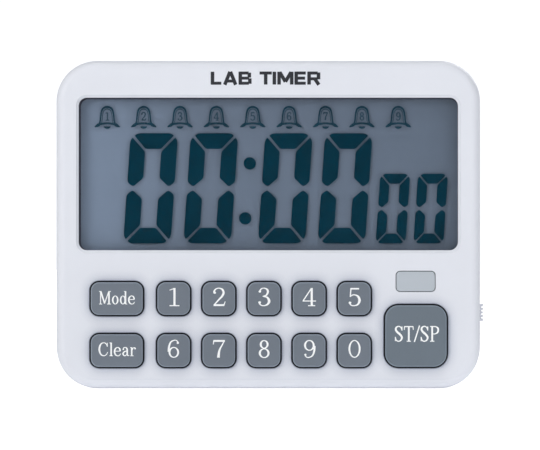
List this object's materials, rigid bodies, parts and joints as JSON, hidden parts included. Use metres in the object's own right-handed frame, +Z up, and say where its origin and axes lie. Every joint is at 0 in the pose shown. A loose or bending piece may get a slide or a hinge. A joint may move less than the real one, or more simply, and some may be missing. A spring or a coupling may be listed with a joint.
{
  "type": "lab timer",
  "caption": "White desk and wall timer with a wide segment display, a numeric pad of grey keys, a large start and stop key, a fold-out stand and magnets.",
  "frame": {"origin": "middle of the lower edge that the timer stands on, at the height of that edge", "axes": "+Z up, +X to the user's right, the display faces -Y"},
  "size_m": [0.1108, 0.023, 0.085],
  "materials": {
    "case_white": "fine moulded texture, satin",
    "key_grey": "fine moulded texture, matt",
    "clear_lens": "polished clear sheet",
    "lcd_glass": "polished thin glass",
    "polariser": "smooth film",
    "reflector": "smooth grey-blue reflecting film",
    "holder_plastic": "plain moulded",
    "zebra_rubber": "striped elastomer",
    "silicone": "translucent silicone",
    "carbon": "matt carbon",
    "board_green": "solder mask over glass fibre",
    "epoxy_black": "potting compound",
    "metal_can": "tinned can",
    "ceramic_tan": "fired ceramic",
    "led_clear": "clear resin",
    "lamp_window": "translucent diffuser",
    "switch_black": "plain moulded",
    "screw_steel": "zinc plated",
    "cell_jacket": "printed sleeve, plain",
    "contact_plate": "nickel plated spring steel",
    "magnet_nickel": "nickel plated",
    "brass_disc": "rolled sheet",
    "piezo_white": "silvered ceramic",
    "lead_red": "insulated wire",
    "lead_black": "insulated wire"
  },
  "bodies": {
    "case": {"front_panel": "case_white", "front_rim": "case_white", "front_posts": "case_white", "rear_panel": "case_white", "rear_panel_lower": "case_white", "bay_frame": "case_white", "rear_rim": "case_white", "battery_bay": "case_white", "stand_channel": "case_white", "rear_bosses": "case_white", "window_lens": "clear_lens", "lcd_front_glass": "lcd_glass", "lcd_rear_glass": "lcd_glass", "lcd_front_polariser": "polariser", "lcd_rear_polariser": "reflector", "lcd_holder": "holder_plastic", "zebra_strip": "zebra_rubber", "contact_mat": "silicone", "carbon_pills": "carbon", "main_board": "board_green", "chip_blob": "epoxy_black", "quartz_crystal": "metal_can", "chip_capacitors": "ceramic_tan", "chip_resistors": "epoxy_black", "buzzer_transistor": "epoxy_black", "buzzer_inductor": "epoxy_black", "alarm_led": "led_clear", "lamp_lens": "lamp_window", "switch_body": "metal_can", "case_screws": "screw_steel", "board_screws": "screw_steel", "holder_screws": "screw_steel", "battery_cell_lower": "cell_jacket", "battery_cell_upper": "cell_jacket", "battery_contact_positive": "contact_plate", "battery_contact_negative": "contact_plate", "battery_contact_bridge": "contact_plate", "battery_springs": "contact_plate", "magnets": "magnet_nickel", "buzzer_disc": "brass_disc", "buzzer_ceramic": "piezo_white", "battery_leads": "lead_red", "buzzer_leads": "lead_black"},
    "key_1_cap": {"key_1": "key_grey"},
    "key_2_cap": {"key_2": "key_grey"},
    "key_3_cap": {"key_3": "key_grey"},
    "key_4_cap": {"key_4": "key_grey"},
    "key_5_cap": {"key_5": "key_grey"},
    "key_6_cap": {"key_6": "key_grey"},
    "key_7_cap": {"key_7": "key_grey"},
    "key_8_cap": {"key_8": "key_grey"},
    "key_9_cap": {"key_9": "key_grey"},
    "key_0_cap": {"key_0": "key_grey"},
    "key_mode_cap": {"key_mode": "key_grey"},
    "key_clear_cap": {"key_clear": "key_grey"},
    "key_start_stop_cap": {"key_start_stop": "key_grey"},
    "switch_slider": {"switch_stem": "switch_black", "switch_knob": "case_white"},
    "battery_cover": {"battery_door": "case_white"},
    "stand_frame": {"stand": "case_white"}
  },
  "joints": [
    {"name": "key_1_press", "type": "slide", "parent": "case", "child": "key_1_cap", "axis": [0, 1, 0], "range_m": [0, 0.0008], "stiffness_N_per_m": 900, "springref_m": -0.0004, "deforming": ["contact_mat"]},
    {"name": "key_2_press", "type": "slide", "parent": "case", "child": "key_2_cap", "axis": [0, 1, 0], "range_m": [0, 0.0008], "stiffness_N_per_m": 900, "springref_m": -0.0004, "deforming": ["contact_mat"]},
    {"name": "key_3_press", "type": "slide", "parent": "case", "child": "key_3_cap", "axis": [0, 1, 0], "range_m": [0, 0.0008], "stiffness_N_per_m": 900, "springref_m": -0.0004, "deforming": ["contact_mat"]},
    {"name": "key_4_press", "type": "slide", "parent": "case", "child": "key_4_cap", "axis": [0, 1, 0], "range_m": [0, 0.0008], "stiffness_N_per_m": 900, "springref_m": -0.0004, "deforming": ["contact_mat"]},
    {"name": "key_5_press", "type": "slide", "parent": "case", "child": "key_5_cap", "axis": [0, 1, 0], "range_m": [0, 0.0008], "stiffness_N_per_m": 900, "springref_m": -0.0004, "deforming": ["contact_mat"]},
    {"name": "key_6_press", "type": "slide", "parent": "case", "child": "key_6_cap", "axis": [0, 1, 0], "range_m": [0, 0.0008], "stiffness_N_per_m": 900, "springref_m": -0.0004, "deforming": ["contact_mat"]},
    {"name": "key_7_press", "type": "slide", "parent": "case", "child": "key_7_cap", "axis": [0, 1, 0], "range_m": [0, 0.0008], "stiffness_N_per_m": 900, "springref_m": -0.0004, "deforming": ["contact_mat"]},
    {"name": "key_8_press", "type": "slide", "parent": "case", "child": "key_8_cap", "axis": [0, 1, 0], "range_m": [0, 0.0008], "stiffness_N_per_m": 900, "springref_m": -0.0004, "deforming": ["contact_mat"]},
    {"name": "key_9_press", "type": "slide", "parent": "case", "child": "key_9_cap", "axis": [0, 1, 0], "range_m": [0, 0.0008], "stiffness_N_per_m": 900, "springref_m": -0.0004, "deforming": ["contact_mat"]},
    {"name": "key_0_press", "type": "slide", "parent": "case", "child": "key_0_cap", "axis": [0, 1, 0], "range_m": [0, 0.0008], "stiffness_N_per_m": 900, "springref_m": -0.0004, "deforming": ["contact_mat"]},
    {"name": "key_mode_press", "type": "slide", "parent": "case", "child": "key_mode_cap", "axis": [0, 1, 0], "range_m": [0, 0.0008], "stiffness_N_per_m": 900, "springref_m": -0.0004, "deforming": ["contact_mat"]},
    {"name": "key_clear_press", "type": "slide", "parent": "case", "child": "key_clear_cap", "axis": [0, 1, 0], "range_m": [0, 0.0008], "stiffness_N_per_m": 900, "springref_m": -0.0004, "deforming": ["contact_mat"]},
    {"name": "key_start_stop_press", "type": "slide", "parent": "case", "child": "key_start_stop_cap", "axis": [0, 1, 0], "range_m": [0, 0.0008], "stiffness_N_per_m": 1200, "springref_m": -0.0004, "deforming": ["contact_mat"]},
    {"name": "switch_slide", "type": "slide", "parent": "case", "child": "switch_slider", "axis": [0, 0, 1], "range_m": [0, 0.002]},
    {"name": "battery_door_lift", "type": "slide", "parent": "case", "child": "battery_cover", "axis": [0, 1, 0], "range_m": [0, 0.026]},
    {"name": "stand_hinge", "type": "hinge", "parent": "case", "child": "stand_frame", "pos_m": [0, 0.0101, 0.044], "axis": [1, 0, 0], "range_deg": [0, 60]}
  ]
}
